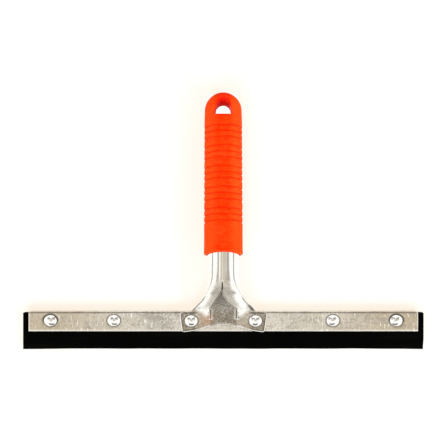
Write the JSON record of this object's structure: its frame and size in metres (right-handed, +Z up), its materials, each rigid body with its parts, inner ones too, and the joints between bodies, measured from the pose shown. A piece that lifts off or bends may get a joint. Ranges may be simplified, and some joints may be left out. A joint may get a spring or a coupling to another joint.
{
  "type": "window cleaning squeegee",
  "caption": "Hand squeegee with a steel channel that clamps twin rubber strips, a riveted rolled steel stem that leans back, and a ribbed plastic grip with a hang hole.",
  "frame": {"origin": "middle of the hang hole, on the grip's axis", "axes": "+X along the blade, towards its right end seen from the front; +Y from the channel's front face to its back; +Z up from the wiping edge towards the grip"},
  "size_m": [0.3, 0.0516, 0.195],
  "materials": {
    "grip_plastic": "moulded, satin gloss",
    "stem_steel": "bright zinc plated, lightly scuffed",
    "channel_steel": "zinc plated sheet, lightly scratched",
    "blade_rubber": "matt black",
    "rivet_steel": "bright zinc plated"
  },
  "bodies": {
    "root": {"grip_sleeve": "grip_plastic", "stem_yoke": "stem_steel", "blade_channel": "channel_steel", "front_rubber": "blade_rubber", "back_rubber": "blade_rubber", "rivet_end_left": "rivet_steel", "rivet_mid_left": "rivet_steel", "rivet_yoke_left": "rivet_steel", "rivet_yoke_right": "rivet_steel", "rivet_mid_right": "rivet_steel", "rivet_end_right": "rivet_steel"}
  },
  "joints": []
}
